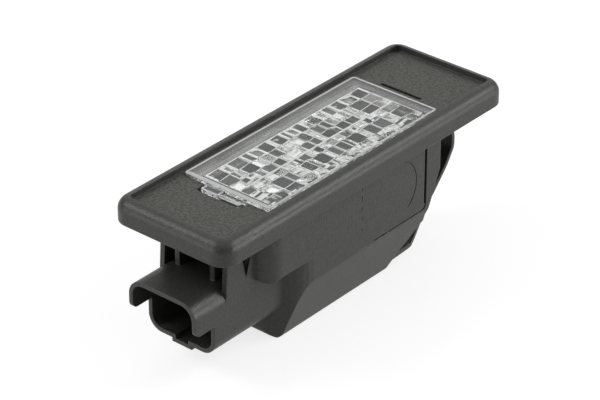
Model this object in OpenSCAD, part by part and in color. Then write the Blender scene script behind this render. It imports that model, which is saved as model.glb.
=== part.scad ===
// Snap-in number plate lamp for a car: one moulded housing with a plug shroud and a
// spring clip, a clear prismatic lens, a festoon bulb and two stamped contacts.
// The flange seat plane is z = 0. The lens looks up, and the plug end is at -X.

/* [Flange] */
// Length of the flange
flange_l = 95; // [90:0.5:105]
// Width of the flange
flange_w = 32.1; // [31.5:0.1:36]
// Height of the flange above its seat
flange_h = 5.6; // [5.2:0.1:7]
// Corner radius of the flange in plan
flange_corner_r = 4.1; // [3.2:0.1:5]
// Radius of the rounded rim
rim_r = 2.85; // [2.2:0.05:2.95]
// Small radius along the flange's foot
foot_r = 0.3; // [0.2:0.1:0.8]
// Depth of the tray below the rim
tray_depth = 1.4; // [1:0.1:1.8]
// Thickness of the tray plate
plate_t = 2.2; // [1.8:0.1:2.4]

/* [Body] */
// Width of the body behind the flange
body_w = 26.4; // [26:0.1:27]
// Height of the body below the seat
body_h = 31.5; // [30.5:0.1:34]
// Wall thickness of the body
wall = 1.5; // [1.2:0.1:1.8]
// Length of the body beyond the bulb at the plug end
near_room = 13.7; // [13.2:0.1:14.5]
// Length of the body beyond the bulb at the clip end
far_room = 9.2; // [9:0.1:10.5]
// Vertical corner radius at the plug end
body_corner_r = 5; // [4:0.1:6]
// Height of the wide shoulder at the plug end
shoulder_h = 13.1; // [12.5:0.1:15]
// Height at which the lower sides start to taper
taper_z = -18.2; // [-20:0.1:-17]
// Inward lean of the lower sides, mm for each mm of height
taper_k = 0.3; // [0.2:0.01:0.36]

/* [Plug shroud] */
// Outer width of the shroud
shroud_w = 18.8; // [18:0.1:20]
// Top of the shroud
shroud_top = -10.4; // [-12:0.1:-9.5]
// Bottom of the shroud
shroud_bottom = -25.6; // [-27:0.1:-25]
// Wall thickness of the shroud
shroud_wall = 1; // [0.9:0.1:1.5]
// Reach of the shroud beyond the body
shroud_reach = 12.4; // [11:0.1:14]
// Length of the hood beyond the rest of the shroud
hood_l = 5.8; // [4:0.1:6.5]
// Lower edge of the hood's side lips
hood_lip_z = -18; // [-19:0.05:-16.5]
// Outer width of the keyway channel
keyway_w = 5.6; // [4.6:0.1:6]
// Depth of the keyway channel
keyway_h = 0.9; // [0.8:0.1:1.3]

/* [Spring clip] */
// Width of the clip
clip_w = 12; // [10:0.5:15]
// Thickness of the clip
clip_t = 1; // [0.8:0.1:1.3]
// Reach of the clip's nose beyond the body
clip_reach = 14.4; // [12.5:0.1:15.5]

/* [Lens] */
// Length by which the body outruns the lens plate
lens_short = 2.5; // [2.1:0.1:4]
// Width of the lens plate
lens_w = 23.9; // [23:0.1:24.1]
// Thickness of the lens plate
lens_t = 1.65; // [1.4:0.05:1.9]
// Gap around the lens plate
lens_gap = 0.25; // [0.2:0.05:0.35]
// Depth of the lens skirt below the plate
skirt_h = 4; // [3:0.5:5]
// Prisms along each row
prism_cols = 18; // [12:2:20]

/* [Bulb] */
// Diameter of the bulb glass
glass_d = 11; // [10:0.5:11]
// Length over both bulb caps
bulb_l = 36; // [35:0.5:36.5]
// Diameter of the bulb caps
cap_d = 8.4; // [8:0.1:8.5]
// Height of the bulb axis
bulb_z = -14.5; // [-14.8:0.1:-14]

/* [Contacts] */
// Thickness of the contact strip
strip_t = 0.8; // [0.6:0.1:0.8]
// Width of the plug blades
blade_w = 2.2; // [1.8:0.1:2.8]
// Distance between the blades
blade_pitch = 5.2; // [5:0.1:6]
// Running gap between a contact and the moulding around it
contact_gap = 0.05; // [0.03:0.01:0.1]

/* [Hidden] */
$fn = 48;
eps = 0.01;
big = 200;

tray_z = flange_h - tray_depth;
plate_z = tray_z - plate_t;
join_z = plate_z + 0.5;
rim_in_x = flange_l / 2 - rim_r + 0.1;
rim_in_y = flange_w / 2 - rim_r;
tray_corner_r = 1.3;
body_y = body_w / 2;
body_z = -body_h;
inner_y = body_y - wall;
bulb_x = 0.5;
body_near_x = bulb_x - bulb_l / 2 - near_room;
body_far_x = bulb_x + bulb_l / 2 + far_room;

lens_l = body_far_x - body_near_x - lens_short;
lens_x = (body_near_x + body_far_x) / 2 + 1.05;
lens_near_x = lens_x - lens_l / 2;
lens_far_x = lens_x + lens_l / 2;
lens_seat_z = tray_z - 1;
lens_ledge = 1.2;
opening_x0 = lens_near_x + lens_ledge;
opening_x1 = lens_far_x - lens_ledge;
opening_y = lens_w / 2 - lens_ledge + 0.05;
skirt_gap = 0.2;
skirt_t = 0.9;
prism_half = lens_l / 2 - 2.5;
// Edges of the prism rows, as shares of the field from one side of the lens
row_share = [0, 0.12, 0.33, 0.46, 0.63, 0.81, 1];
barb_w = 8;
barb_out = 0.7;
barb_h = 1.1;
latch_l = 2.5;

shroud_y = shroud_w / 2;
shroud_top_r = 4;
shroud_bottom_r = 3.6;
shroud_mouth_x = body_near_x - shroud_reach;
hood_mouth_x = shroud_mouth_x - hood_l;
lip_r = 1.5;
shroud_back_x = body_near_x + 9.3;
socket_end_x = body_near_x + 4.2;
keyway_back_x = body_near_x - 3.8;
neck_front_x = body_near_x - 8.1;
neck_t = 1.3;
rib_y = 4.9;

deep_near_x = body_near_x + 7.1;
deep_wide_x = body_near_x + 12;
deep_near_y = 6.8;
chamber_near_x = body_near_x + 9.5;
chamber_floor_z = body_z + wall;
upper_floor_z = shroud_top + 0.2;

bend_run = 0.9;
bend_steps = 4;

glass_t = 0.5;
glass_body = bulb_l / 2 - 10.6;
neck_r = 3.5;
neck_x = bulb_l / 2 - 5.5;
cap_start = bulb_l / 2 - 8.2;
cone_start = bulb_l / 2 - 2.5;
cone_r0 = cap_d / 2 - 0.6;
cone_r1 = 1.2;
cap_t = 0.35;
lead_r = 0.25;
coil_r = 0.35;
coil_l = 8;

leaf_in = bulb_l / 2 - 1.6;
leaf_w = 8;
leaf_top = bulb_z + 5;
leaf_corner_r = 1.5;
leaf_shoulder_z = leaf_top - leaf_corner_r;
leaf_hole_r = cone_r0 - (cone_r0 - cone_r1) * (leaf_in - cone_start) / 2.5 + 0.04;
blade_z = (shroud_top + shroud_bottom) / 2;
blade_tip_x = shroud_mouth_x + 5.6;
near_leaf_x = bulb_x - leaf_in - strip_t / 2;
far_leaf_x = bulb_x + leaf_in + strip_t / 2;
floor_strip_y = -4.2;
floor_strip_w = 4;
floor_strip_z = chamber_floor_z + contact_gap + strip_t / 2;
far_ramp_x = far_leaf_x - 6.7;
far_leaf_z = floor_strip_z + 6;
drill_h = 4;
near_blade_run = 2.5;
strip_lap = 1;
peg_r = 0.9;
peg_x = [-13, 4];

// Far end of the body along the middle, from the seat down to the bottom
far_bend_z = -8.9;
far_knee = [body_far_x - 4.8, -19.8];
far_end = [
    [body_far_x, join_z],
    [body_far_x, far_bend_z],
    far_knee,
    [body_far_x - 4.5, body_z + 5],
    [body_far_x - 5.8, body_z + 3.5],
    [body_far_x - 7.3, body_z + 2.8],
    [body_far_x - 11, body_z + 2.4],
    [body_far_x - 13.7, body_z]
];
// The same line one wall further in
far_end_inner = [
    [body_far_x - wall, plate_z],
    [body_far_x - wall, far_bend_z - 0.3],
    [far_knee.x - wall, far_knee.y - 0.3],
    [body_far_x - 8.1, body_z + 6.1],
    [body_far_x - 9.2, body_z + 5],
    [body_far_x - 12.2, body_z + 3.8],
    [body_far_x - 16.2, chamber_floor_z]
];
// Line of the slanted corner faces at the far end, taken at y = corner_y
corner_y = 11.3;
corner_turn = 68;
corner_line = [
    [body_far_x + 5, join_z + 0.1],
    [body_far_x + 5, -18.5],
    [body_far_x - 3.4, body_z + 9.6],
    [body_far_x - 8.7, body_z + 6.5],
    [body_far_x - 12.4, body_z + 4.6],
    [body_far_x - 15.7, body_z + 2.7],
    [body_far_x - 20, body_z]
];

module along_x(length) {
    rotate([90, 0, 90]) linear_extrude(length, center = true) children();
}

module along_y(length) {
    rotate([90, 0, 0]) linear_extrude(length, center = true) children();
}

module box(x0, x1, y0, y1, z0, z1) {
    translate([x0, y0, z0]) cube([x1 - x0, y1 - y0, z1 - z0]);
}

module rounded_square(x0, x1, y0, y1, r) {
    translate([x0 + r, y0]) square([x1 - x0 - 2 * r, y1 - y0]);
    translate([x0, y0 + r]) square([x1 - x0, y1 - y0 - 2 * r]);
    for (x = [x0 + r, x1 - r], y = [y0 + r, y1 - r]) {
        translate([x, y]) circle(r);
    }
}

module rounded_box(x0, x1, y0, y1, z0, z1, r) {
    translate([0, 0, z0]) linear_extrude(z1 - z0) rounded_square(x0, x1, y0, y1, r);
}

function unit(v) = v / norm(v);

function left_of(v) = [-v.y, v.x];

// A centre line with each bend rounded off over a short run r on both sides
function soft_line(points, r) = [
    points[0],
    for (i = [1:len(points) - 2])
        let (
            v = points[i],
            a = v + r * unit(points[i - 1] - v),
            b = v + r * unit(points[i + 1] - v)
        )
        for (k = [0:bend_steps])
            let (q = k / bend_steps) (1 - q) * (1 - q) * a + 2 * q * (1 - q) * v + q * q * b,
    points[len(points) - 1]
];

// Point i of a line, moved sideways by d with a mitred corner
function beside(line, i, d) =
    let (
        a = unit(line[max(i, 1)] - line[max(i, 1) - 1]),
        last = len(line) - 2,
        b = unit(line[min(i, last) + 1] - line[min(i, last)]),
        n = unit(left_of(a) + left_of(b))
    ) line[i] + n * d / (n * left_of(a));

// A closed outline with each corner i rounded off over a run runs[i]
function soft_outline(points, runs) = [
    for (i = [0:len(points) - 1])
        let (
            count = len(points),
            v = points[i],
            a = v + runs[i] * unit(points[(i + count - 1) % count] - v),
            b = v + runs[i] * unit(points[(i + 1) % count] - v)
        )
        for (k = [0:(runs[i] > 0 ? bend_steps : 0)])
            let (q = k / bend_steps) (1 - q) * (1 - q) * a + 2 * q * (1 - q) * v + q * q * b
];

// A flat strip that follows points in the XZ plane
module strip(points, t, y0, y1) {
    line = soft_line(points, bend_run);
    count = len(line);
    translate([0, (y0 + y1) / 2, 0]) along_y(y1 - y0) polygon(concat(
        [for (i = [0:count - 1]) beside(line, i, t / 2)],
        [for (i = [count - 1:-1:0]) beside(line, i, -t / 2)]
    ));
}

// Section of the flange from a corner's centre outward
module flange_edge_section() {
    intersection() {
        square([flange_corner_r, flange_h]);
        union() {
            square([flange_corner_r - foot_r, flange_h - rim_r]);
            translate([0, foot_r]) square([flange_corner_r, flange_h - rim_r - foot_r]);
            square([flange_corner_r - rim_r, flange_h]);
            translate([flange_corner_r - rim_r, flange_h - rim_r]) circle(rim_r, $fn = 64);
            translate([flange_corner_r - foot_r, foot_r]) circle(foot_r, $fn = 24);
        }
    }
}

module flange_block() {
    cx = flange_l / 2 - flange_corner_r;
    cy = flange_w / 2 - flange_corner_r;
    box(-cx, cx, -cy, cy, 0, flange_h);
    for (q = [0:3]) {
        sx = (q == 0 || q == 3) ? 1 : -1;
        sy = (q < 2) ? 1 : -1;
        translate([sx * cx, sy * cy, 0]) rotate(90 * q)
            rotate_extrude(angle = 90, $fn = 64) flange_edge_section();
    }
    for (s = [0, 1]) {
        rotate(180 * s) {
            translate([cx, 0, 0]) along_y(2 * cy) flange_edge_section();
            translate([0, cy, 0]) along_x(2 * cx) flange_edge_section();
        }
    }
}

// Wide shoulder at the plug end, which runs on inside the rest of the body
module upper_body() {
    end_x = deep_wide_x + 5;
    intersection() {
        translate([0, 0, -shoulder_h]) linear_extrude(shoulder_h + join_z) difference() {
            rounded_square(body_near_x, end_x + 20, -body_y, body_y, body_corner_r);
            translate([end_x, -big / 2]) square(big);
        }
        along_y(body_w) rounded_square(body_near_x, end_x + 20, -shoulder_h, 20, 2);
        along_x(big) rounded_square(-body_y, body_y, -shoulder_h, 20, 1);
    }
}

module lower_section() {
    foot_y = body_y - taper_k * (taper_z - body_z);
    polygon(soft_outline([
        [-body_y, join_z],
        [-body_y, taper_z],
        [-foot_y, body_z],
        [foot_y, body_z],
        [body_y, taper_z],
        [body_y, join_z]
    ], [0, 0.5, 1.3, 1.3, 0.5, 0]));
}

module far_corner() {
    rotate(-corner_turn) along_y(big) polygon(concat(
        [for (p = corner_line) [(p.x + corner_y * tan(corner_turn)) * cos(corner_turn), p.y]],
        [[-big / 2, body_z], [-big / 2, join_z + 0.1]]
    ));
}

module lower_body() {
    intersection() {
        along_y(body_w) polygon(soft_outline(
            concat(far_end, [[deep_near_x, body_z], [deep_near_x, join_z]]),
            [0, 0, 0, 0, 0, 0, 0.6, 1, 2, 0]
        ));
        along_x(big) lower_section();
        translate([0, 0, body_z]) linear_extrude(body_h + join_z) polygon(soft_outline([
            [deep_near_x, -deep_near_y],
            [deep_wide_x, -body_y],
            [body_far_x, -body_y],
            [body_far_x, body_y],
            [deep_wide_x, body_y],
            [deep_near_x, deep_near_y]
        ], [2, 3, 0.5, 0.5, 3, 2]));
        far_corner();
        mirror([0, 1, 0]) far_corner();
    }
}

module shroud_section(inset) {
    y = shroud_y - inset;
    rt = shroud_top_r - inset;
    rb = shroud_bottom_r - inset;
    top = shroud_top - inset;
    bottom = shroud_bottom + inset;
    translate([-y + rt, bottom + rb]) square([2 * (y - rt), top - bottom - rb]);
    translate([-y + rb, bottom]) square([2 * (y - rb), top - bottom - rt]);
    translate([-y, bottom + rb]) square([2 * y, top - bottom - rt - rb]);
    for (s = [-1, 1]) {
        translate([s * (y - rt), top - rt]) circle(rt);
        translate([s * (y - rb), bottom + rb]) circle(rb);
    }
}

module shroud_outer() {
    intersection() {
        translate([(hood_mouth_x + shroud_back_x) / 2, 0, 0])
            along_x(shroud_back_x - hood_mouth_x) shroud_section(0);
        along_y(shroud_w + 2) union() {
            translate([shroud_mouth_x, shroud_bottom - 1])
                square([shroud_back_x - shroud_mouth_x, 30]);
            translate([hood_mouth_x, hood_lip_z + lip_r]) square([20, 10]);
            translate([hood_mouth_x + lip_r, hood_lip_z]) square([20, 10]);
            translate([hood_mouth_x + lip_r, hood_lip_z + lip_r]) circle(lip_r, $fn = 32);
        }
    }
    box(shroud_mouth_x, keyway_back_x, -keyway_w / 2, keyway_w / 2,
        shroud_bottom - keyway_h, shroud_bottom + 1);
}

module shroud_cavity() {
    translate([(socket_end_x - 60) / 2, 0, 0]) along_x(socket_end_x + 60)
        shroud_section(shroud_wall);
    box(-60, keyway_back_x - 1.2, -keyway_w / 2 + 1, keyway_w / 2 - 1,
        shroud_bottom - keyway_h + 0.9, shroud_bottom + 2);
}

// Side walls and ribs that carry the shroud under the flange
module neck() {
    for (s = [-1, 1]) {
        difference() {
            translate([0, s * (shroud_y - neck_t / 2), 0]) along_y(neck_t) polygon([
                [neck_front_x - 0.6, shroud_top - 3.5],
                [body_near_x + 4, shroud_top - 3.5],
                [body_near_x + 4, plate_z + 0.3],
                [neck_front_x + 0.5, plate_z + 0.3]
            ]);
            translate([0, s * shroud_y, 0]) along_y(7) polygon([
                [body_near_x - 2.3, shroud_top - 0.2],
                [body_near_x + 0.2, -3],
                [body_near_x + 0.2, 3],
                [body_near_x - 5.6, 3]
            ]);
        }
        translate([0, s * rib_y, 0]) along_y(neck_t)
            translate([neck_front_x + 0.2, shroud_top - 0.5])
                square([8.5, -shroud_top + plate_z + 0.8]);
    }
}

// Leaf from under the far end of the body up behind the panel, wide at its root
module spring_clip() {
    arm_x = body_far_x + clip_reach - clip_t / 2;
    root_y = body_y - 3.5;
    clip_y = clip_w / 2;
    intersection() {
        strip([
            [body_far_x - 12.5, body_z + 2.6],
            [body_far_x - 5.4, body_z + 2.5],
            [body_far_x - 3.5, body_z + 3.3],
            [body_far_x + 0.1, body_z + 5.6],
            [body_far_x + 6.3, body_z + 9.2],
            [body_far_x + 11.3, body_z + 14.6],
            [arm_x, body_z + 18.6],
            [arm_x, body_z + 21.9],
            [arm_x - 1.3, body_z + 23.7],
            [arm_x - 1.3, body_z + 29.1]
        ], clip_t, -body_y, body_y);
        translate([0, 0, body_z]) linear_extrude(body_h + join_z) polygon([
            [body_far_x - 14, -root_y],
            [body_far_x - 5, -root_y + 0.5],
            [body_far_x + 6, -clip_y],
            [arm_x + 2, -clip_y],
            [arm_x + 2, clip_y],
            [body_far_x + 6, clip_y],
            [body_far_x - 5, root_y - 0.5],
            [body_far_x - 14, root_y]
        ]);
    }
}

module chamber() {
    // Wide part above the shroud
    difference() {
        rounded_box(body_near_x + wall, body_far_x + 20, -inner_y, inner_y,
            upper_floor_z, plate_z, body_corner_r - wall);
        translate([body_far_x - wall, -big / 2, upper_floor_z - big / 2]) cube(big);
    }
    // Deep part around the bulb
    foot_y = body_y - taper_k * (taper_z - body_z) - wall;
    intersection() {
        along_y(body_w) polygon(concat(far_end_inner, [
            [chamber_near_x, chamber_floor_z],
            [chamber_near_x, plate_z]
        ]));
        along_x(big) polygon([
            [-inner_y, plate_z],
            [-inner_y, taper_z - 0.3],
            [-foot_y - 0.4, chamber_floor_z],
            [foot_y + 0.4, chamber_floor_z],
            [inner_y, taper_z - 0.3],
            [inner_y, plate_z]
        ]);
        translate([0, 0, -big / 2]) linear_extrude(big) polygon([
            [chamber_near_x, -deep_near_y + 0.6],
            [deep_wide_x + 1.2, -inner_y],
            [body_far_x, -inner_y],
            [body_far_x, inner_y],
            [deep_wide_x + 1.2, inner_y],
            [chamber_near_x, deep_near_y - 0.6]
        ]);
    }
}

module lens_seat() {
    rounded_box(lens_near_x - lens_gap, lens_far_x + lens_gap,
        -lens_w / 2 - lens_gap, lens_w / 2 + lens_gap, lens_seat_z, flange_h, 1);
    box(opening_x0, opening_x1, -opening_y, opening_y, plate_z - 1, flange_h);
    // Pocket for the lens latch
    rounded_box(lens_near_x - latch_l - 0.5, lens_near_x + 0.9, -6.3, 5.9,
        lens_seat_z - 0.6, flange_h, 0.5);
    // Slot beyond the far edge of the lens
    rounded_box(lens_far_x + 1.7, lens_far_x + 2.6, -5.7, 5.7, tray_z - 1.5, flange_h, 0.4);
    // Window for the far barbs
    box(body_far_x - wall - 0.5, opening_x1 + barb_out + 0.1, -barb_w / 2 - 0.3, barb_w / 2 + 0.3,
        plate_z - barb_h - 0.2, plate_z);
}

// Mould marks on one side wall: a groove with a round corner and an insert's outline
module side_marks() {
    groove_x = body_far_x - 5.5;
    step_z = -17.6;
    corner_r = 1.2;
    translate([0, -body_y, 0]) {
        along_y(1.6) {
            translate([groove_x - 0.4, step_z + corner_r]) square([0.8, 14]);
            translate([groove_x - 0.4 - corner_r + 0.4, step_z + corner_r]) intersection() {
                difference() {
                    circle(corner_r + 0.4);
                    circle(corner_r - 0.1);
                }
                translate([0, -5]) square(5);
            }
        }
        along_y(1) translate([groove_x - 17.7, step_z - 0.35]) square([17, 0.35]);
        along_y(0.4) translate([-2, step_z - 0.3]) square([7, 0.3]);
    }
    insert_x = 11.9;
    insert_z = -8.9;
    insert_r = 7;
    translate([0, -body_y, 0]) along_y(0.3) {
        intersection() {
            translate([insert_x, insert_z]) difference() {
                circle(insert_r + 0.15);
                circle(insert_r - 0.15);
            }
            translate([insert_x + 2.6, insert_z - 5.8]) square([8, 12.4]);
        }
        for (i = [0:4]) {
            translate([-0.1, -3.4 - 2.5 * i]) square([0.2, 1.6 - 0.2 * i]);
        }
    }
}

module contact_slots() {
    for (s = [-1, 1]) {
        box(socket_end_x - 1, chamber_near_x + 1,
            s * blade_pitch / 2 - blade_w / 2 - contact_gap,
            s * blade_pitch / 2 + blade_w / 2 + contact_gap,
            blade_z - strip_t / 2 - contact_gap, blade_z + strip_t / 2 + contact_gap);
    }
}

// Pegs that hold the long contact down on the chamber floor
module contact_pegs() {
    for (x = peg_x) {
        translate([x, floor_strip_y, chamber_floor_z - 0.5]) {
            cylinder(h = 0.5 + contact_gap * 2 + strip_t, r = peg_r, $fn = 32);
            translate([0, 0, 0.5 + contact_gap * 2 + strip_t])
                cylinder(h = 0.7, r1 = peg_r + 0.7, r2 = peg_r + 0.1, $fn = 32);
        }
    }
}

module housing() {
    color([0.22, 0.22, 0.21]) {
        difference() {
            union() {
                flange_block();
                upper_body();
                lower_body();
                shroud_outer();
                neck();
                spring_clip();
            }
            rounded_box(-rim_in_x, rim_in_x, -rim_in_y, rim_in_y, tray_z, flange_h + 1,
                tray_corner_r);
            difference() {
                rounded_box(-rim_in_x, rim_in_x, -rim_in_y, rim_in_y, -1, plate_z,
                    tray_corner_r);
                box(body_near_x, body_far_x, -big, big, -2, flange_h);
                neck();
                spring_clip();
            }
            lens_seat();
            chamber();
            shroud_cavity();
            contact_slots();
            side_marks();
        }
        contact_pegs();
    }
}

// Edge of prism column i in row j: narrow in the middle and wider towards both ends
function prism_x(i, j) =
    let (
        q = 2 * i / prism_cols - 1,
        inside = i > 0 && i < prism_cols
    ) prism_half * (0.78 * q + 0.22 * q * q * q) + (inside ? 0.35 * sin(137 * i + 71 * j) : 0);

// Drop of a prism's left and right edges
function prism_drop(i, j, side) = 0.75 + 0.55 * sin(211 * i + 97 * j + 143 * side);

module prism_row(j, y0, y1) {
    top = lens_seat_z + 0.1;
    translate([lens_x, (y0 + y1) / 2, 0]) along_y(y1 - y0) polygon([
        [prism_x(0, j), top],
        for (i = [0:prism_cols - 1], side = [0, 1])
            [prism_x(i + side, j) + (side == 0 ? eps : -eps), lens_seat_z - prism_drop(i, j, side)],
        [prism_x(prism_cols, j), top]
    ]);
}

module lens() {
    x0 = opening_x0 + skirt_gap;
    x1 = opening_x1 - skirt_gap;
    y1 = opening_y - skirt_gap;
    row_y0 = -y1 + skirt_t;
    row_span = y1 - skirt_t + 0.35 * lens_w;
    color([0.85, 0.88, 0.9, 0.4]) {
        rounded_box(lens_near_x, lens_far_x, -lens_w / 2, lens_w / 2,
            lens_seat_z, lens_seat_z + lens_t, 0.8);
        difference() {
            box(x0, x1, -y1, y1, lens_seat_z - skirt_h, lens_seat_z + 0.1);
            box(x0 + skirt_t, x1 - skirt_t, -y1 + skirt_t, y1 - skirt_t, -20, lens_seat_z + 0.1);
        }
        for (j = [0:len(row_share) - 2]) {
            prism_row(j, row_y0 + row_share[j] * row_span, row_y0 + row_share[j + 1] * row_span);
        }
        // Barbs under the tray plate at both ends
        box(x0 - skirt_gap - barb_out, x0 + 0.2, -barb_w / 2, barb_w / 2,
            plate_z - barb_h, plate_z - contact_gap);
        box(x1 - 0.2, x1 + skirt_gap + barb_out, -barb_w / 2, barb_w / 2,
            plate_z - barb_h, plate_z - contact_gap);
        // Latch tab with a free spring bar
        tab_z = lens_seat_z + 0.1;
        tab_x = lens_near_x - latch_l;
        rounded_box(tab_x, lens_near_x + 0.5, 0.3, 5.1, tab_z, tray_z + 0.35, 0.5);
        rounded_box(tab_x, tab_x + 1.1, -5.7, 1.5, tab_z, tray_z + 0.25, 0.5);
    }
}

// Turned and blown shapes are drawn along +Z and laid along the bulb axis
module on_bulb_axis(side) {
    translate([bulb_x, 0, bulb_z]) rotate([0, 90 * side, 0]) children();
}

module glass_outline(r, neck, body, end) {
    // Half section: straight middle, round shoulders and a straight neck
    shoulder = r - neck;
    square([r, body]);
    translate([0, body]) intersection() {
        translate([neck, 0]) circle(shoulder);
        square([r, shoulder]);
    }
    square([neck, end]);
}

module bulb_glass() {
    color([0.9, 0.93, 0.95, 0.35]) for (s = [-1, 1]) {
        on_bulb_axis(s) rotate_extrude($fn = 64) difference() {
            glass_outline(glass_d / 2, neck_r, glass_body, neck_x);
            glass_outline(glass_d / 2 - glass_t, neck_r - glass_t, glass_body, neck_x - 0.8);
            square([lead_r + 0.02, neck_x + 1]);
        }
    }
}

module bulb_cap(side) {
    color([0.75, 0.74, 0.7]) on_bulb_axis(side) rotate_extrude($fn = 64) difference() {
        polygon([
            [0, cap_start],
            [cap_d / 2 - 0.15, cap_start],
            [cap_d / 2, cap_start + 0.3],
            [cap_d / 2, cone_start - 0.6],
            [cone_r0, cone_start],
            [cone_r1, bulb_l / 2],
            [0, bulb_l / 2]
        ]);
        polygon([
            [0, cap_start - 1],
            [neck_r + 0.05, cap_start - 1],
            [neck_r + 0.05, cone_start - 0.6],
            [cone_r0 - cap_t, cone_start],
            [cone_r1 - cap_t, bulb_l / 2 - cap_t],
            [0, bulb_l / 2 - cap_t]
        ]);
    }
}

module bulb_cap_near() {
    bulb_cap(-1);
}

module bulb_cap_far() {
    bulb_cap(1);
}

module filament() {
    color([0.5, 0.48, 0.45]) on_bulb_axis(1)
        translate([0, 0, -coil_l / 2]) cylinder(h = coil_l, r = coil_r, $fn = 32);
}

module filament_lead(side) {
    color([0.7, 0.7, 0.72]) on_bulb_axis(side) translate([0, 0, coil_l / 2])
        cylinder(h = bulb_l / 2 - cap_t - coil_l / 2, r = lead_r, $fn = 32);
}

module filament_lead_near() {
    filament_lead(-1);
}

module filament_lead_far() {
    filament_lead(1);
}

module leaf(x, bottom) {
    difference() {
        union() {
            top_y = leaf_w / 2 - leaf_corner_r;
            box(x - strip_t / 2, x + strip_t / 2, -leaf_w / 2, leaf_w / 2, bottom,
                leaf_shoulder_z);
            box(x - strip_t / 2, x + strip_t / 2, -top_y, top_y, leaf_shoulder_z - 0.1, leaf_top);
            for (s = [-1, 1]) {
                translate([x, s * top_y, leaf_shoulder_z]) rotate([0, 90, 0])
                    cylinder(h = strip_t, r = leaf_corner_r, center = true, $fn = 32);
            }
        }
        translate([x, 0, bulb_z]) rotate([0, 90, 0])
            cylinder(h = drill_h, r = leaf_hole_r, center = true, $fn = 48);
    }
}

module blade(y, end_x) {
    box(blade_tip_x + 0.8, end_x, y - blade_w / 2, y + blade_w / 2,
        blade_z - strip_t / 2, blade_z + strip_t / 2);
    box(blade_tip_x, blade_tip_x + 0.9, y - blade_w / 2 + 0.5, y + blade_w / 2 - 0.5,
        blade_z - strip_t / 2 + 0.2, blade_z + strip_t / 2 - 0.2);
}

module contact_near() {
    color([0.78, 0.72, 0.55]) {
        blade(blade_pitch / 2, chamber_near_x + near_blade_run);
        strip([
            [chamber_near_x + near_blade_run - 0.5, blade_z],
            [near_leaf_x, blade_z],
            [near_leaf_x, blade_z + 1]
        ], strip_t, blade_pitch / 2 - blade_w / 2, blade_pitch / 2 + blade_w / 2);
        leaf(near_leaf_x, blade_z + strip_t / 2 + 0.1);
    }
}

module contact_far() {
    bend_x = chamber_near_x + 0.8;
    color([0.78, 0.72, 0.55]) difference() {
        union() {
            blade(-blade_pitch / 2, chamber_near_x - strip_lap);
            strip([
                [chamber_near_x - 2 * strip_lap, blade_z],
                [bend_x, blade_z],
                [bend_x, blade_z - 2]
            ], strip_t, -blade_pitch / 2 - blade_w / 2, -blade_pitch / 2 + blade_w / 2);
            strip([
                [bend_x, blade_z - 1.5],
                [bend_x, floor_strip_z],
                [far_ramp_x, floor_strip_z],
                [far_ramp_x + 4.4, floor_strip_z + 2.35],
                [far_leaf_x, far_leaf_z - 2],
                [far_leaf_x, far_leaf_z + 1]
            ], strip_t, floor_strip_y - floor_strip_w / 2, floor_strip_y + floor_strip_w / 2);
            leaf(far_leaf_x, far_leaf_z - 1);
        }
        for (x = peg_x) {
            translate([x, floor_strip_y, floor_strip_z])
                cylinder(h = drill_h, r = peg_r + 0.08, center = true, $fn = 32);
        }
    }
}

housing();
lens();
bulb_glass();
bulb_cap_near();
bulb_cap_far();
filament();
filament_lead_near();
filament_lead_far();
contact_near();
contact_far();
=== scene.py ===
# %% [markdown]
# # Number plate lamp
# A small snap-in lamp for a car: a black moulded housing, a clear lens with rows of
# prisms, and a festoon bulb between two stamped contacts. The solids come from the
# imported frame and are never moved. This script gives them their finish, draws the
# fine parts that solids leave out, and sets the floor, the light and the camera.

# %% Load the frame
import math

import bmesh
import bpy
from mathutils import Matrix, Vector


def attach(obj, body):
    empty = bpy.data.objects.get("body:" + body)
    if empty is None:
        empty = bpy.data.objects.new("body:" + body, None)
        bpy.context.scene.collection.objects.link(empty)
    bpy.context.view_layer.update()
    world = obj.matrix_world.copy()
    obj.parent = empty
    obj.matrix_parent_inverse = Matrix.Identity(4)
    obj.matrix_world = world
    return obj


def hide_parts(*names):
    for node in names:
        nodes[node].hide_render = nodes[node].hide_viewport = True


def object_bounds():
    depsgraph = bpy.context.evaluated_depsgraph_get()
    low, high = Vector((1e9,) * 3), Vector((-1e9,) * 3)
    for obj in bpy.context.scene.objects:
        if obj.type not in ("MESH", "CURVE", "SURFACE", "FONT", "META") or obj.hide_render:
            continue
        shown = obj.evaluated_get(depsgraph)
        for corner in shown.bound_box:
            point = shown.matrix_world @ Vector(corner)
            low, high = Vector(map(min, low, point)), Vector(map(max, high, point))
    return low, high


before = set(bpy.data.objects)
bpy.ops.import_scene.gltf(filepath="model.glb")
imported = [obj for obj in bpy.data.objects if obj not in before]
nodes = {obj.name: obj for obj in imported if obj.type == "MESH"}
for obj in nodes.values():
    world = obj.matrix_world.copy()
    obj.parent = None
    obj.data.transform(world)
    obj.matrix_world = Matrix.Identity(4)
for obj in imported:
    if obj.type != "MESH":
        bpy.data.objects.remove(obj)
cad_low, cad_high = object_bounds()
MM = 0.001
print("CAD box in mm:", [round(v / MM, 2) for v in (*cad_low, *cad_high)])

# %% [markdown]
# ## Camera
# The lamp was photographed from well above its plug end with a long lens, so lines that
# are parallel on the part stay nearly parallel in the picture. The camera could be aimed
# by hand, but here its place and three angles are plain numbers, so they can be matched
# to the photograph: the turn about the vertical, the angle above the table, and a very
# small roll.

# %% Camera
CAM_AZIMUTH = -49.57
CAM_ELEVATION = 30.69
CAM_ROLL = -0.09
CAM_PLACE = Vector((-399.65, -336.14, 299.42)) * MM
FOCAL_PX = 2777.8
FRAME_PX = 600
SENSOR_MM = 36.0


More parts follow.
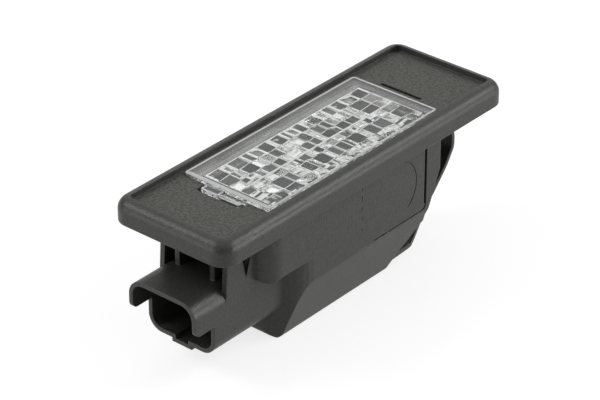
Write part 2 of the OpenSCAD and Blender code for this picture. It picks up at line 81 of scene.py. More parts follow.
def camera_axes(azimuth, elevation, roll):
    a, e, r = (math.radians(v) for v in (azimuth, elevation, roll))
    back = Vector((math.sin(a) * math.cos(e), -math.cos(a) * math.cos(e), math.sin(e)))
    side = Vector((math.cos(a), math.sin(a), 0.0))
    rise = back.cross(side)
    right = side * math.cos(r) + rise * math.sin(r)
    up = rise * math.cos(r) - side * math.sin(r)
    return right, up, back


def make_camera():
    data = bpy.data.cameras.new("camera")
    data.sensor_width = SENSOR_MM
    data.lens = FOCAL_PX / FRAME_PX * SENSOR_MM
    data.clip_start = 0.01
    data.clip_end = 20.0
    camera = bpy.data.objects.new("camera", data)
    bpy.context.scene.collection.objects.link(camera)
    turn = Matrix(camera_axes(CAM_AZIMUTH, CAM_ELEVATION, CAM_ROLL)).transposed()
    camera.matrix_world = Matrix.Translation(CAM_PLACE) @ turn.to_4x4()
    bpy.context.scene.camera = camera
    print("lens in mm:", round(data.lens, 2))


make_camera()

# %% [markdown]
# ## Small helpers for materials
# Every material here is made of nodes. Setting each input and drawing each link on a
# line of its own would bury what a material does. So these helpers take an input by its
# name, as a plain value or as another node's output, and the ones for sums and blends
# give back the output that the next node reads.

# %% Node helpers


def feed(tree, pin, value):
    if isinstance(value, bpy.types.NodeSocket):
        tree.links.new(value, pin)
    else:
        pin.default_value = value


def set_inputs(tree, node, **inputs):
    for name, value in inputs.items():
        feed(tree, node.inputs[name.replace("_", " ")], value)


def add_node(tree, kind, x=0, y=0, **inputs):
    node = tree.nodes.new(kind)
    node.location = (x, y)
    set_inputs(tree, node, **inputs)
    return node


# %% Sums and blends


def feed_in_order(tree, node, *values):
    open_pins = [pin for pin in node.inputs if pin.enabled]
    for pin, value in zip(open_pins, values):
        feed(tree, pin, value)
    return next(pin for pin in node.outputs if pin.enabled)


def add_math(tree, operation, x, y, *values, kind="ShaderNodeMath"):
    node = add_node(tree, kind, x, y)
    node.operation = operation
    return feed_in_order(tree, node, *values)


def add_vector_math(tree, operation, x, y, *values):
    return add_math(tree, operation, x, y, *values, kind="ShaderNodeVectorMath")


def add_blend(tree, data_type, x, y, factor, first, second):
    node = add_node(tree, "ShaderNodeMix", x, y)
    node.data_type = data_type
    return feed_in_order(tree, node, factor, first, second)


# %% Empty materials


def start_material(name):
    material = bpy.data.materials.new(name)
    material.use_nodes = True
    tree = material.node_tree
    tree.nodes.clear()
    return material, tree


def new_material(name):
    material, tree = start_material(name)
    shader = add_node(tree, "ShaderNodeBsdfPrincipled", 600)
    add_node(tree, "ShaderNodeOutputMaterial", 900, Surface=shader.outputs["BSDF"])
    return material, tree, shader


def give(material, *names):
    for name in names:
        mesh = nodes[name].data
        mesh.materials.clear()
        mesh.materials.append(material)
    print(material.name, "on:", ", ".join(names))


# %% [markdown]
# ## Moulded surface, a shared effect
# A mould leaves a fine even grain on plastic, a slight unevenness in gloss where the
# melt flowed, and edges that are never quite sharp. The edges are painted a little
# paler, partly as wear from dust and handling and partly as a painted highlight where a
# rounded edge catches the light. A photo texture would do, but noise in object space has
# no seams and stays the right size on every face, so one node group makes all of it. It
# gives out a colour, a roughness and a normal.

# %% Sockets of the group
SURFACE_INPUTS = [
    ("Base", "NodeSocketColor", (0.05, 0.05, 0.05, 1)),
    ("Edge", "NodeSocketColor", (0.1, 0.1, 0.1, 1)),
    ("Roughness", "NodeSocketFloat", 0.5),
    ("Grain Scale", "NodeSocketFloat", 3000.0),
    ("Grain Height", "NodeSocketFloat", 0.1),
    ("Edge Radius", "NodeSocketFloat", 0.2 * MM),
    ("Mottle", "NodeSocketFloat", 0.2),
]
SURFACE_OUTPUTS = [
    ("Color", "NodeSocketColor"),
    ("Roughness", "NodeSocketFloat"),
    ("Normal", "NodeSocketVector"),
]


def start_surface_group():
    group = bpy.data.node_groups.new("moulded_surface", "ShaderNodeTree")
    sockets = group.interface
    for name, kind, value in SURFACE_INPUTS:
        socket = sockets.new_socket(name, in_out="INPUT", socket_type=kind)
        socket.default_value = value
    for name, kind in SURFACE_OUTPUTS:
        sockets.new_socket(name, in_out="OUTPUT", socket_type=kind)
    return group


# %% Grain over rounded edges
GRAIN_DEPTH = 0.2 * MM


def add_grain(group, given, place):
    grain = add_node(
        group, "ShaderNodeTexNoise", -800, -300,
        Vector=place, Scale=given["Grain Scale"], Detail=3.0, Roughness=0.6,
    )
    rounded = add_node(group, "ShaderNodeBevel", -800, 300, Radius=given["Edge Radius"])
    rounded.samples = 6
    bump = add_node(
        group, "ShaderNodeBump", 300, -300,
        Strength=given["Grain Height"], Distance=GRAIN_DEPTH,
        Height=grain.outputs["Fac"], Normal=rounded.outputs["Normal"],
    )
    return rounded.outputs["Normal"], bump.outputs["Normal"]


# %% [markdown]
# ## Edges, clumps and gloss
# The rounded normal leaves the true one only near an edge, so the angle between the two
# finds the edges without painting them by hand. Clumps of grain catch the light
# unevenly, so the colour varies a little too, and so does the gloss along the melt's
# flow.

# %% Worn edges with a painted highlight
EDGE_START = 0.995
EDGE_FULL = 0.8


def add_wear_and_sheen_edges(group, given, flow, rounded):
    shape = add_node(group, "ShaderNodeNewGeometry", -800, 100)
    turn = add_vector_math(group, "DOT_PRODUCT", -550, 200, rounded, shape.outputs["Normal"])
    wear_and_sheen = add_node(
        group, "ShaderNodeMapRange", -300, 200,
        Value=turn, From_Min=EDGE_START, From_Max=EDGE_FULL,
    )
    broken = add_math(group, "MULTIPLY", -50, 200, wear_and_sheen.outputs["Result"], flow)
    # The paler Edge colour is partly wear, partly a painted highlight along rounded edges.
    return add_blend(group, "RGBA", 300, 200, broken, given["Base"], given["Edge"])


# %% Clumps and gloss
CLUMP_SCALE = 1700.0
GLOSS_CHANGE = 0.06


def add_clumps(group, given, place, colour):
    clump = add_node(
        group, "ShaderNodeTexNoise", -800, 600, Vector=place, Scale=CLUMP_SCALE, Detail=4.0
    )
    spread = add_math(group, "SUBTRACT", -300, 600, clump.outputs["Fac"], 0.5)
    shade = add_math(group, "MULTIPLY_ADD", -50, 600, spread, given["Mottle"], 1.0)
    return add_vector_math(group, "SCALE", 550, 300, colour, shade)


def add_gloss(group, given, flow):
    change = add_node(
        group, "ShaderNodeMapRange", -300, -600,
        Value=flow, To_Min=-GLOSS_CHANGE, To_Max=GLOSS_CHANGE,
    )
    return add_math(group, "ADD", 300, -600, change.outputs["Result"], given["Roughness"])


# %% Moulded surface group
FLOW_SCALE = 90.0


def build_moulded_group():
    group = start_surface_group()
    given = add_node(group, "NodeGroupInput", -1200).outputs
    place = add_node(group, "ShaderNodeTexCoord", -1200, -400).outputs["Object"]
    flow = add_node(
        group, "ShaderNodeTexNoise", -800, -600, Vector=place, Scale=FLOW_SCALE, Detail=3.0
    ).outputs["Fac"]
    rounded, bumped = add_grain(group, given, place)
    colour = add_wear_and_sheen_edges(group, given, flow, rounded)
    add_node(
        group, "NodeGroupOutput", 900,
        Color=add_clumps(group, given, place, colour),
        Roughness=add_gloss(group, given, flow),
        Normal=bumped,
    )
    return group


moulded_surface = build_moulded_group()
print("shared group:", moulded_surface.name, "with", len(moulded_surface.nodes), "nodes")

# %% Use of the group
SURFACE_LINKS = [
    ("Color", "Base Color", "RGBA"),
    ("Roughness", "Roughness", "FLOAT"),
    ("Normal", "Normal", "VECTOR"),
]


def add_moulded(tree, base, edge, roughness, scale, height, radius, mottle=0.1):
    node = add_node(tree, "ShaderNodeGroup", 200)
    node.node_tree = moulded_surface
    set_inputs(
        tree, node, Base=(*base, 1), Edge=(*edge, 1), Roughness=roughness, Grain_Scale=scale,
        Grain_Height=height, Edge_Radius=radius * MM, Mottle=mottle,
    )
    return node.outputs


def dress_moulded(tree, shader, **surface):
    finish = add_moulded(tree, **surface)
    for output, target, _ in SURFACE_LINKS:
        feed(tree, shader.inputs[target], finish[output])


# %% [markdown]
# ## Black plastic
# The housing is one moulding in glass-filled nylon or the like. Its rims and walls come
# from a smooth mould, so they are dark with soft highlights. The sunk tray round the
# lens comes from a spark-eroded face of the mould and is rougher and paler. Along its
# walls the tray fades to the darker smooth finish within a narrow margin: that is painted
# shade, for the shade that the walls cast into its corners. Two materials on chosen faces
# would leave a hard line there, so both finishes are the same group, blended by a mask on
# place and facing.

# %% Tray mask with painted shade along the walls
TRAY_Z = cad_high.z - 1.4 * MM
TRAY_PLAY = 0.1 * MM
TRAY_LEVEL = 0.95
TRAY_EDGE = [("X", cad_high.x - 2.1 * MM), ("Y", cad_high.y - 1.95 * MM)]
WALL_SHADE_FADE = 1.0 * MM


def make_tray_and_wall_shade_mask(tree):
    place = add_node(tree, "ShaderNodeTexCoord", -1100, 500).outputs["Object"]
    facing = add_node(tree, "ShaderNodeNewGeometry", -1100, 250).outputs["True Normal"]
    spot = add_node(tree, "ShaderNodeSeparateXYZ", -900, 500, Vector=place)
    upward = add_node(tree, "ShaderNodeSeparateXYZ", -900, 250, Vector=facing)
    sunk = add_math(tree, "COMPARE", -700, 500, spot.outputs["Z"], TRAY_Z, TRAY_PLAY)
    flat = add_math(tree, "GREATER_THAN", -700, 250, upward.outputs["Z"], TRAY_LEVEL)
    tray_and_wall_shade = add_math(tree, "MULTIPLY", -500, 400, sunk, flat)
    # Near each wall the mask fades out, so the tray darkens there: painted shade.
    for axis, edge in TRAY_EDGE:
        side = add_math(tree, "ABSOLUTE", -700, 700, spot.outputs[axis])
        wall_shade_fade = add_node(
            tree, "ShaderNodeMapRange", -500, 700,
            Value=side, From_Min=edge, From_Max=edge - WALL_SHADE_FADE,
        )
        tray_and_wall_shade = add_math(tree, "MULTIPLY", -300, 500, tray_and_wall_shade, wall_shade_fade.outputs["Result"])
    return tray_and_wall_shade


print("tray floor at z in mm:", round(TRAY_Z / MM, 2))

# %% Black plastic


def make_black_plastic():
    material, tree, shader = new_material("black_plastic")
    smooth = add_moulded(
        tree, base=(0.047, 0.0482, 0.0432), edge=(0.1, 0.1, 0.09), roughness=0.37,
        scale=2200.0, height=0.4, radius=0.3, mottle=1.2,
    )
    eroded = add_moulded(
        tree, base=(0.078, 0.079, 0.07), edge=(0.078, 0.079, 0.07), roughness=0.6,
        scale=1800.0, height=1.4, radius=0.3, mottle=2.6,
    )
    tray_and_wall_shade = make_tray_and_wall_shade_mask(tree)
    for output, target, data_type in SURFACE_LINKS:
        both = add_blend(tree, data_type, 400, 0, tray_and_wall_shade, smooth[output], eroded[output])
        feed(tree, shader.inputs[target], both)
    set_inputs(tree, shader, Specular_IOR_Level=0.45)
    return material


give(make_black_plastic(), "housing")

# %% [markdown]
# ## Clear lens
# The lens is a clear moulding. Its top is plain and its underside has prisms, so the
# light breaks up in small rectangles. A drawn pattern would imitate that from one side
# only, so real refraction through the modelled prisms makes it. The material adds a
# little haze, and a fine ripple on the underside, which a mask from the face normal
# picks out. Lamplight would stop at the clear plastic, so shadow rays pass it with a
# small loss and reach the parts below.

# %% Underside of the lens
TOP_FACING = 0.9
SIDE_FACING = 0.3
RIPPLE_SCALE = 350.0
RIPPLE_DEPTH = 0.2 * MM


def mask_underside(tree):
    facing = add_node(tree, "ShaderNodeNewGeometry", -1200, -300).outputs["True Normal"]
    upward = add_node(tree, "ShaderNodeSeparateXYZ", -1000, -300, Vector=facing)
    below = add_node(
        tree, "ShaderNodeMapRange", -800, -300,
        Value=upward.outputs["Z"], From_Min=TOP_FACING, From_Max=SIDE_FACING,
    )
    return below.outputs["Result"]


def add_ripple(tree, below):
    place = add_node(tree, "ShaderNodeTexCoord", -1200).outputs["Object"]
    ripple = add_node(
        tree, "ShaderNodeTexNoise", -800, 0, Vector=place, Scale=RIPPLE_SCALE, Detail=1.0
    )
    height = add_math(tree, "MULTIPLY", -500, 0, ripple.outputs["Fac"], below)
    bump = add_node(
        tree, "ShaderNodeBump", -200, -200, Height=height, Distance=RIPPLE_DEPTH, Strength=0.25
    )
    return bump.outputs["Normal"]


# %% Clear lens
HAZE_ABOVE = 0.02
HAZE_BELOW = 0.1
SHADOW_OF_CLEAR = 0.12


def make_clear_plastic():
    material, tree, shader = new_material("clear_plastic")
    below = mask_underside(tree)
    haze = add_node(
        tree, "ShaderNodeMapRange", -200, 200, Value=below, To_Min=HAZE_ABOVE, To_Max=HAZE_BELOW
    )
    shadow = add_node(tree, "ShaderNodeLightPath", -500, 500).outputs["Is Shadow Ray"]
    solid = add_node(
        tree, "ShaderNodeMapRange", -200, 500, Value=shadow, To_Min=1.0, To_Max=SHADOW_OF_CLEAR
    )
    set_inputs(
        tree, shader, Base_Color=(0.95, 0.96, 0.955, 1), Transmission_Weight=0.99, IOR=1.52,
        Normal=add_ripple(tree, below), Roughness=haze.outputs["Result"],
        Alpha=solid.outputs["Result"],
    )
    return material


give(make_clear_plastic(), "lens")

# %% [markdown]
# ## Bright edges in the lens
# On the real lens every step between two prisms catches the light and shows as a bright
# white line against the dark inside. That glint is a painted highlight here: white
# flakes on the steps. Painting white lines would slide off the steps, so the steps
# themselves are used. A copy of the lens keeps only its upright faces near the plate,
# and each becomes a thin flake just inside the clear plastic.

# %% Parts of the lens
WELD = 0.001 * MM
SAME_PLANE = math.radians(0.5)


def copy_lens():
    shape = bmesh.new()
    shape.from_mesh(nodes["lens"].data)
    bmesh.ops.remove_doubles(shape, verts=shape.verts, dist=WELD)
    bmesh.ops.dissolve_limit(
        shape, angle_limit=SAME_PLANE, verts=shape.verts, edges=shape.edges
    )
    shape.normal_update()
    return shape


def keep_faces(shape, wanted):
    others = [face for face in shape.faces if not wanted(face)]
    bmesh.ops.delete(shape, geom=others, context="FACES")
    bmesh.ops.split_edges(shape, edges=shape.edges)


def trim_faces(shape, margin):
    rims = bmesh.ops.inset_individual(shape, faces=shape.faces, thickness=margin)
    bmesh.ops.delete(shape, geom=rims["faces"], context="FACES")


def sink_faces(shape, depth):
    for face in shape.faces:
        bmesh.ops.translate(shape, verts=face.verts, vec=-face.normal * depth)


# %% New pieces


def add_piece(name, shape, material):
    mesh = bpy.data.meshes.new(name)
    shape.to_mesh(mesh)
    shape.free()
    mesh.materials.append(material)
    piece = bpy.data.objects.new(name, mesh)
    bpy.context.scene.collection.objects.link(piece)
    heights = [v.co.z / MM for v in mesh.vertices]
    span = [round(min(heights), 2), round(max(heights), 2)]
    print(name, "faces:", len(mesh.polygons), "height in mm:", span)
    return piece


def add_lens_piece(name, shape, material):
    piece = add_piece(name, shape, material)
    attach(piece, "root")


# %% Flakes cut from the lens


def finish_flakes(name, shape, thickness, material):
    bmesh.ops.solidify(shape, geom=shape.faces, thickness=thickness)
    add_lens_piece(name, shape, material)


def make_flakes(name, wanted, trim, sink, thickness, material):
    shape = copy_lens()
    keep_faces(shape, wanted)
    trim_faces(shape, trim)
    sink_faces(shape, sink)
    finish_flakes(name, shape, thickness, material)


# %% Painted highlights on the steps
STEP_FOOT = 1.7 * MM
PLATE_SEAT = 3.2 * MM
STEP_HEAD = PLATE_SEAT + 0.2 * MM
STEEP = 0.35
FLAKE_TRIM = 0.05 * MM
FLAKE_SINK = 0.02 * MM
EDGE_THICKNESS = 0.13 * MM


def make_flake_finish(name, base):
    material, tree, shader = new_material(name)
    dress_moulded(
        tree, shader, base=base, edge=(0.97, 0.97, 0.97), roughness=0.5, scale=2500.0,
        height=0.3, radius=0.03, mottle=0.3,
    )
    return material


def is_step(face):
    foot = min(v.co.z for v in face.verts)
    head = max(v.co.z for v in face.verts)
    return abs(face.normal.z) < STEEP and foot > STEP_FOOT and head < STEP_HEAD


painted_step_highlight = make_flake_finish("painted_step_highlight", (0.93, 0.94, 0.93))
make_flakes("step_edges", is_step, FLAKE_TRIM, FLAKE_SINK, EDGE_THICKNESS, painted_step_highlight)

# %% [markdown]
# ## White bars in the top row
# In the row next to the plain strip the steps are deeper, and each catches the light as a
# white bar between two dark cells. Wider steps in the solid would change the lens, so the
# same step faces make thicker white flakes there, a painted highlight like the others.

# %% White bars
BAR_ROW = 4.93 * MM
ACROSS = 0.9
BAR_SINK = 0.2 * MM
BAR_THICKNESS = 0.42 * MM


def is_row_step(face):
    in_row = face.calc_center_median().y > BAR_ROW
    return in_row and abs(face.normal.x) > ACROSS and is_step(face)


make_flakes("row_bars", is_row_step, FLAKE_TRIM, BAR_SINK, BAR_THICKNESS, painted_step_highlight)

# %% [markdown]
# ## Outline of the plate
# The plate's top edge catches the lamps along a narrow polished chamfer, so it looks
# light grey rather than white. A real chamfer this small would show only in a few
# highlights. So the plate's top face is inset, and the border strip that the inset makes
# is kept in a greyer finish than the steps: a painted highlight along the edge.

# %% Plate outline
PLATE_TOP = 4.3 * MM
LEVEL = 0.9
OUTLINE_W = 0.5 * MM
OUTLINE_THICKNESS = 0.1 * MM


def is_plate_top(face):
    foot = min(v.co.z for v in face.verts)
    return face.normal.z > LEVEL and foot > PLATE_TOP


def make_outline():
    shape = copy_lens()
    keep_faces(shape, is_plate_top)
    trim_faces(shape, FLAKE_TRIM)
    strip = bmesh.ops.inset_individual(shape, faces=shape.faces[:], thickness=OUTLINE_W)
    border = set(strip["faces"])
    inside = [face for face in shape.faces if face not in border]
    bmesh.ops.delete(shape, geom=inside, context="FACES")
    shape.normal_update()
    bmesh.ops.translate(shape, verts=shape.verts, vec=(0, 0, -FLAKE_SINK))
    finish_flakes("plate_outline", shape, OUTLINE_THICKNESS, painted_highlight_grey)


painted_highlight_grey = make_flake_finish("painted_highlight_grey", (0.5, 0.505, 0.5))
make_outline()

# %% [markdown]
# ## Haze of the plain strip
# The plate has no prisms along one long side and at its ends. On the real lens that
# plain part looks evenly grey, partly because its underside is finely matt and partly
# because both its faces mirror the bright room. A grey patch in the clear plastic would
# need a mask on its transmission, and glass keeps one plain value there. So thin pale
# leaves just inside that underside cover a little of what is below, also over the last
# cells: real haze and painted reflection in one.

# %% Thin leaves
LEAF_THICKNESS = 0.03


def add_leaf(shape, x0, x1, y0, y1, z):
    size = Vector((x1 - x0, y1 - y0, LEAF_THICKNESS)) * MM
    middle = Vector(((x0 + x1) / 2, (y0 + y1) / 2, z)) * MM
    place = Matrix.Translation(middle) @ Matrix.Diagonal((*size, 1))
    bmesh.ops.create_cube(shape, size=1, matrix=place)


# %% Hazy strip
HAZE_COVER = 0.18
HAZE_Z = 3.26
HAZE_STRIPS = [
    (-28.7, 27.3, 8.5, 11.8),
    (25.3, 27.3, -11.8, 8.4),
    (21.2, 25.2, -3.7, 4.9),
]


def make_haze_and_reflection():
    material, tree, shader = new_material("haze_and_painted_reflection")
    place = add_node(tree, "ShaderNodeTexCoord", -900).outputs["Object"]
    clouds = add_node(
        tree, "ShaderNodeTexNoise", -700, 0, Vector=place, Scale=260.0, Detail=3.0
    )
    cover = add_math(tree, "MULTIPLY", -400, 0, clouds.outputs["Fac"], HAZE_COVER)
    set_inputs(tree, shader, Base_Color=(0.85, 0.86, 0.84, 1), Roughness=0.6, Alpha=cover)
    return material


def make_strip_haze():
    shape = bmesh.new()
    for strip in HAZE_STRIPS:
        add_leaf(shape, *strip, HAZE_Z)
    add_lens_piece("strip_haze", shape, make_haze_and_reflection())


make_strip_haze()

# %% [markdown]
# ## Pale band at the latch end
# The plate's latch end stands over the lens's upright end wall. The real wall glows
# evenly through the plate as a pale band, while clear plastic alone shows it dark here.
# More light from that end would whiten the housing too, so one thin pale leaf under the
# plate's top paints that glow in: painted light, in the same grey as the plate outline.

# %% Band at the latch end
END_BAND = (-28.3, -27.6, -11.6, 11.3)
END_BAND_Z = 4.6


def make_end_band():
    shape = bmesh.new()
    add_leaf(shape, *END_BAND, END_BAND_Z)
    add_lens_piece("end_band", shape, painted_highlight_grey)


make_end_band()

# %% [markdown]
# ## Frosted cells
# Some prisms of the real lens look milky white, more of them in the rows far from the
# plain strip, partly because their faces are textured and partly because they turn the
# light back inside the plate. The pale flecks paint both in, so they are partly a painted
# reflection. They could be picked one by one. Instead a share of the prism faces is
# picked row by row, with a fixed hash of each face's place, so the pick is the same on
# every run. Fine flecks in two sizes break up each of them.

# %% Milky finish
FLECK_GRIDS = [((2.6, 0.7, 50.0), 0.5), ((0.7, 1.5, 50.0), 0.6)]
FLECK_SOFTNESS = 0.35


def add_flecks(tree, place, step, limit):
    grid = add_vector_math(tree, "SNAP", -1100, 0, place, [size * MM for size in step])
    cell = add_vector_math(tree, "SCALE", -900, 0, grid, 1 / MM)
    chance = add_node(tree, "ShaderNodeTexWhiteNoise", -700, 0, Vector=cell)
    flecks = add_node(
        tree, "ShaderNodeMapRange", -500, 0,
        Value=chance.outputs["Value"], From_Min=limit, From_Max=limit + FLECK_SOFTNESS,
    )
    return flecks.outputs["Result"]


def make_milky_and_glint():
    material, tree, shader = new_material("milky_and_painted_glint")
    place = add_node(tree, "ShaderNodeTexCoord", -1300).outputs["Object"]
    flecks = [add_flecks(tree, place, step, limit) for step, limit in FLECK_GRIDS]
    cover = add_math(tree, "MAXIMUM", -300, 0, *flecks)
    set_inputs(tree, shader, Base_Color=(0.9, 0.91, 0.9, 1), Roughness=0.4, Alpha=cover)
    return material


milky_and_painted_glint = make_milky_and_glint()
print("fleck sizes in mm:", [step[:2] for step, _ in FLECK_GRIDS])

# %% Frosted cells
ROW_SHARE = [(-7.53, 0.7), (-3.74, 0.2), (-1.39, 0.5), (1.68, 0.1), (4.93, 0.05), (9.0, 0.03)]
CELL_HEAD = PLATE_SEAT - 0.1 * MM
CELL_TRIM = 0.12 * MM
CELL_SINK = 0.08 * MM
CELL_THICKNESS = 0.03 * MM
HASH_X = 12.9898
HASH_Y = 78.233
HASH_GAIN = 43758.5453


def fixed_hash(point):
    wave = math.sin(point.x / MM * HASH_X + point.y / MM * HASH_Y) * HASH_GAIN
    return wave - math.floor(wave)


def is_milky(face):
    middle = face.calc_center_median()
    if face.normal.z > -STEEP or not STEP_FOOT < middle.z < CELL_HEAD:
        return False
    share = next(part for edge, part in ROW_SHARE if middle.y < edge * MM)
    return fixed_hash(middle) < share


make_flakes("milky_cells", is_milky, CELL_TRIM, CELL_SINK, CELL_THICKNESS, milky_and_painted_glint)

# %% [markdown]
# ## Milky margin
# The plate's margin beside those rows looks broken up in the same way, though it has no
# prisms of its own. Cutting it into cells would change the solid, so short leaves of the
# same finish lie inside it, at places that the same hash picks.

# %% Milky margin
MARGIN_START = -27.4
MARGIN_END = 27.2
MARGIN_PITCH = 2.6
MARGIN_GAP = 0.25
MARGIN_Y = (-11.7, -9.9)
MARGIN_LINE = -9.7
MARGIN_SHARE = 0.7


def make_milky_edge():
    shape = bmesh.new()
    for step in range(int((MARGIN_END - MARGIN_START) / MARGIN_PITCH)):
        left = MARGIN_START + step * MARGIN_PITCH
        if fixed_hash(Vector((left, MARGIN_LINE, 0)) * MM) < MARGIN_SHARE:
            add_leaf(shape, left, left + MARGIN_PITCH - MARGIN_GAP, *MARGIN_Y, HAZE_Z)
    add_lens_piece("milky_edge", shape, milky_and_painted_glint)


make_milky_edge()

# %% [markdown]
# ## Bulb and contacts
# The bulb glass is thin and clear, its caps are nickel plated, and the contacts are
# tinned brass strip. Metal this small shows little but its gloss, so plain values would
# nearly do. The shared surface group adds the slight rounding of its edges and a faint
# even grain, which keep it from looking like a mirror.

# %% Bulb glass


def make_bulb_glass():
    material, tree, shader = new_material("bulb_glass")
    set_inputs(
        tree, shader, Base_Color=(0.96, 0.97, 0.98, 1), Roughness=0.0,
        Transmission_Weight=1.0, IOR=1.5,
    )
    return material


give(make_bulb_glass(), "bulb_glass")

# %% Metals


def make_metal(name, **surface):
    material, tree, shader = new_material(name)
    dress_moulded(tree, shader, radius=0.1, **surface)
    set_inputs(tree, shader, Metallic=1.0)
    return material


cap_metal = make_metal(
    "cap_metal", base=(0.72, 0.71, 0.68), edge=(0.85, 0.84, 0.8), roughness=0.28,
    scale=1500.0, height=0.1,
)
contact_brass = make_metal(
    "contact_brass", base=(0.72, 0.66, 0.48), edge=(0.82, 0.77, 0.6), roughness=0.34,
    scale=2000.0, height=0.15,
)
give(cap_metal, "bulb_cap_near", "bulb_cap_far")
give(contact_brass, "contact_near", "contact_far")

# %% Wires
lead_wire = make_metal(
    "lead_wire", base=(0.6, 0.6, 0.61), edge=(0.7, 0.7, 0.71), roughness=0.35,
    scale=3000.0, height=0.1,
)
tungsten = make_metal(
    "tungsten", base=(0.4, 0.39, 0.38), edge=(0.45, 0.44, 0.43), roughness=0.7,
    scale=3000.0, height=0.1,
)
give(lead_wire, "filament_lead_near", "filament_lead_far")
give(tungsten, "filament")

# %% [markdown]
# ## Filament coil
# The solid model has a plain rod where the bulb has a wound tungsten wire. The coil is
# made as one would wind it: a small circle of wire is spun round the bulb's axis and
# moved along it at each step. A curve with a bevel would do as well, but the spin
# operator keeps the whole winding in one mesh.

# %% Filament coil
BULB_AXIS = Vector((0.5, 0, -14.5)) * MM
COIL_LENGTH = 8 * MM
COIL_RADIUS = 0.28 * MM
WIRE_RADIUS = 0.07 * MM
WIRE_SIDES = 8
COIL_TURNS = 22
STEPS_PER_TURN = 14


def wind_coil():
    shape = bmesh.new()
    start = BULB_AXIS - Vector((COIL_LENGTH / 2 - WIRE_RADIUS, 0, 0))
    upright = Matrix.Translation(start + Vector((0, 0, COIL_RADIUS)))
    bmesh.ops.create_circle(
        shape, cap_ends=True, segments=WIRE_SIDES, radius=WIRE_RADIUS,
        matrix=upright @ Matrix.Rotation(math.radians(90), 4, "X"),
    )
    steps = COIL_TURNS * STEPS_PER_TURN
    pitch = (COIL_LENGTH - 2 * WIRE_RADIUS) / steps
    bmesh.ops.spin(
        shape, geom=shape.faces[:], cent=start, axis=(1, 0, 0), dvec=(pitch, 0, 0),
        angle=math.tau * COIL_TURNS, steps=steps, use_duplicate=False,
    )
    bmesh.ops.recalc_face_normals(shape, faces=shape.faces)
    return shape


coil = add_piece("filament_coil", wind_coil(), tungsten)
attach(coil, "root")
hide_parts("filament")

# %% [markdown]
# ## Floor
# The lamp stands on a white table. A white floor under strong light would be as white,
# but would light the part from below and wash it out. So the floor is a dim grey for the
# light that it sends to the part, and a white that keeps the part's shadow for what the
# camera sees, straight, through glass or in a reflection.

# %% Floor finish
FLOOR_GREY = (0.35, 0.35, 0.34, 1)
SHADE_GREY = (0.32, 0.32, 0.32, 1)
FLOOR_LIFT = 0.78
MIRROR_SHARE = 0.7


def make_floor_finish():
    material, tree = start_material("floor")
    paper = add_node(tree, "ShaderNodeBsdfDiffuse", 0, 300, Color=FLOOR_GREY)
    shade = add_node(tree, "ShaderNodeBsdfDiffuse", 0, 100, Color=SHADE_GREY)
    lift = add_node(tree, "ShaderNodeEmission", 0, -100, Color=(1, 1, 1, 1), Strength=FLOOR_LIFT)
    sum_node = add_node(tree, "ShaderNodeAddShader", 300, 0)
    white = feed_in_order(tree, sum_node, shade.outputs["BSDF"], lift.outputs["Emission"])
    ray = add_node(tree, "ShaderNodeLightPath", -600, -200).outputs
    direct = add_math(
        tree, "MAXIMUM", -400, -200, ray["Is Camera Ray"], ray["Is Transmission Ray"]
    )
    seen = add_math(tree, "MULTIPLY_ADD", -200, -200, ray["Is Glossy Ray"], MIRROR_SHARE, direct)
    pick_node = add_node(tree, "ShaderNodeMixShader", 600)
    picked = feed_in_order(tree, pick_node, seen, paper.outputs["BSDF"], white)
    add_node(tree, "ShaderNodeOutputMaterial", 900, Surface=picked)
    return material


# %% Floor
FLOOR_HALF = 3.0


def make_floor():
    shape = bmesh.new()
    bmesh.ops.create_grid(
        shape, x_segments=1, y_segments=1, size=FLOOR_HALF,
        matrix=Matrix.Translation((0, 0, cad_low.z)),
    )
    floor = add_piece("floor", shape, make_floor_finish())


make_floor()

# %% [markdown]
# ## Lamps
# Studio light on black plastic is mostly what it mirrors. One big lamp near the camera
# would turn every face the same grey. So two soft lamps stand high, one at each side of
# the camera's view, and draw a bright line along each rounded rim. Two larger ones stand
# low, and fill the long side wall and the plug end.

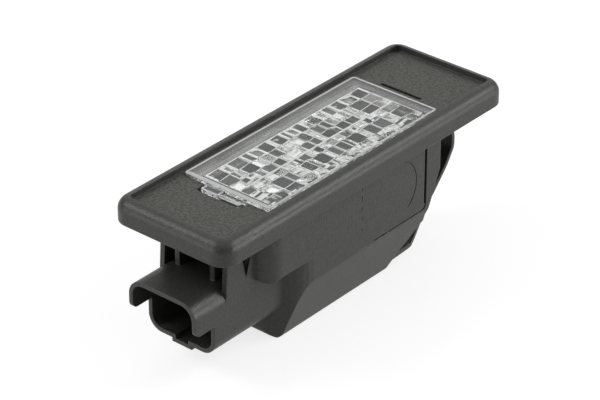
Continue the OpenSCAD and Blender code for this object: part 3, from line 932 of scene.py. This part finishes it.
# %% Lamps
LAMP_DISTANCE = 1.2
LAMPS = [
    ("right", (0.65, -0.51, 0.56), 0.45, 4.6),
    ("left", (-0.48, 0.56, 0.67), 0.5, 4.0),
    ("side", (0.5, -0.85, -0.02), 0.7, 9.6),
    ("plug end", (-0.85, 0.4, 0.05), 0.8, 4.8),
]


def make_lamp(name, toward, size, power):
    data = bpy.data.lights.new(name, "AREA")
    data.shape = "DISK"
    data.size = size
    data.energy = power
    lamp = bpy.data.objects.new(name, data)
    aim = Vector(toward).normalized()
    lamp.location = aim * LAMP_DISTANCE
    lamp.rotation_mode = "QUATERNION"
    lamp.rotation_quaternion = (-aim).to_track_quat("-Z", "Y")
    bpy.context.scene.collection.objects.link(lamp)
    print("lamp:", name, "watts:", power)


for lamp_values in LAMPS:
    make_lamp(*lamp_values)

# %% [markdown]
# ## World
# The room round the table is a dim grey. It is brighter overhead, where it lights the
# milky parts inside the lens, and toward the back, where the clear plate mirrors it. Two
# more lamps could do that, but a lamp's edge would show in the plate, and these glows
# fade out.

# %% World
WORLD_BASE = 0.1
OVERHEAD = Vector((0, 0, 1))
BACK_SIDE = Vector((0.65, 0.56, 0.51)).normalized()
GLOWS = [(OVERHEAD, 0.3, 1.0, 0.5), (BACK_SIDE, 0.7, 0.98, 0.7)]


def add_glow(tree, look, toward, start, end, strength):
    along = add_vector_math(tree, "DOT_PRODUCT", -700, 0, look, toward)
    glow = add_node(
        tree, "ShaderNodeMapRange", -450, 0,
        Value=along, From_Min=start, From_Max=end, To_Max=strength,
    )
    glow.interpolation_type = "SMOOTHSTEP"
    return glow.outputs["Result"]


def make_world():
    world = bpy.data.worlds.new("world")
    world.use_nodes = True
    tree = world.node_tree
    look = add_node(tree, "ShaderNodeTexCoord", -900).outputs["Generated"]
    total = WORLD_BASE
    for glow_values in GLOWS:
        total = add_math(tree, "ADD", -200, 0, add_glow(tree, look, *glow_values), total)
    set_inputs(tree, tree.nodes["Background"], Color=(1, 1, 1, 1), Strength=total)
    bpy.context.scene.world = world
    print("world glows:", len(GLOWS))


make_world()
bpy.context.scene.view_settings.view_transform = "Standard"
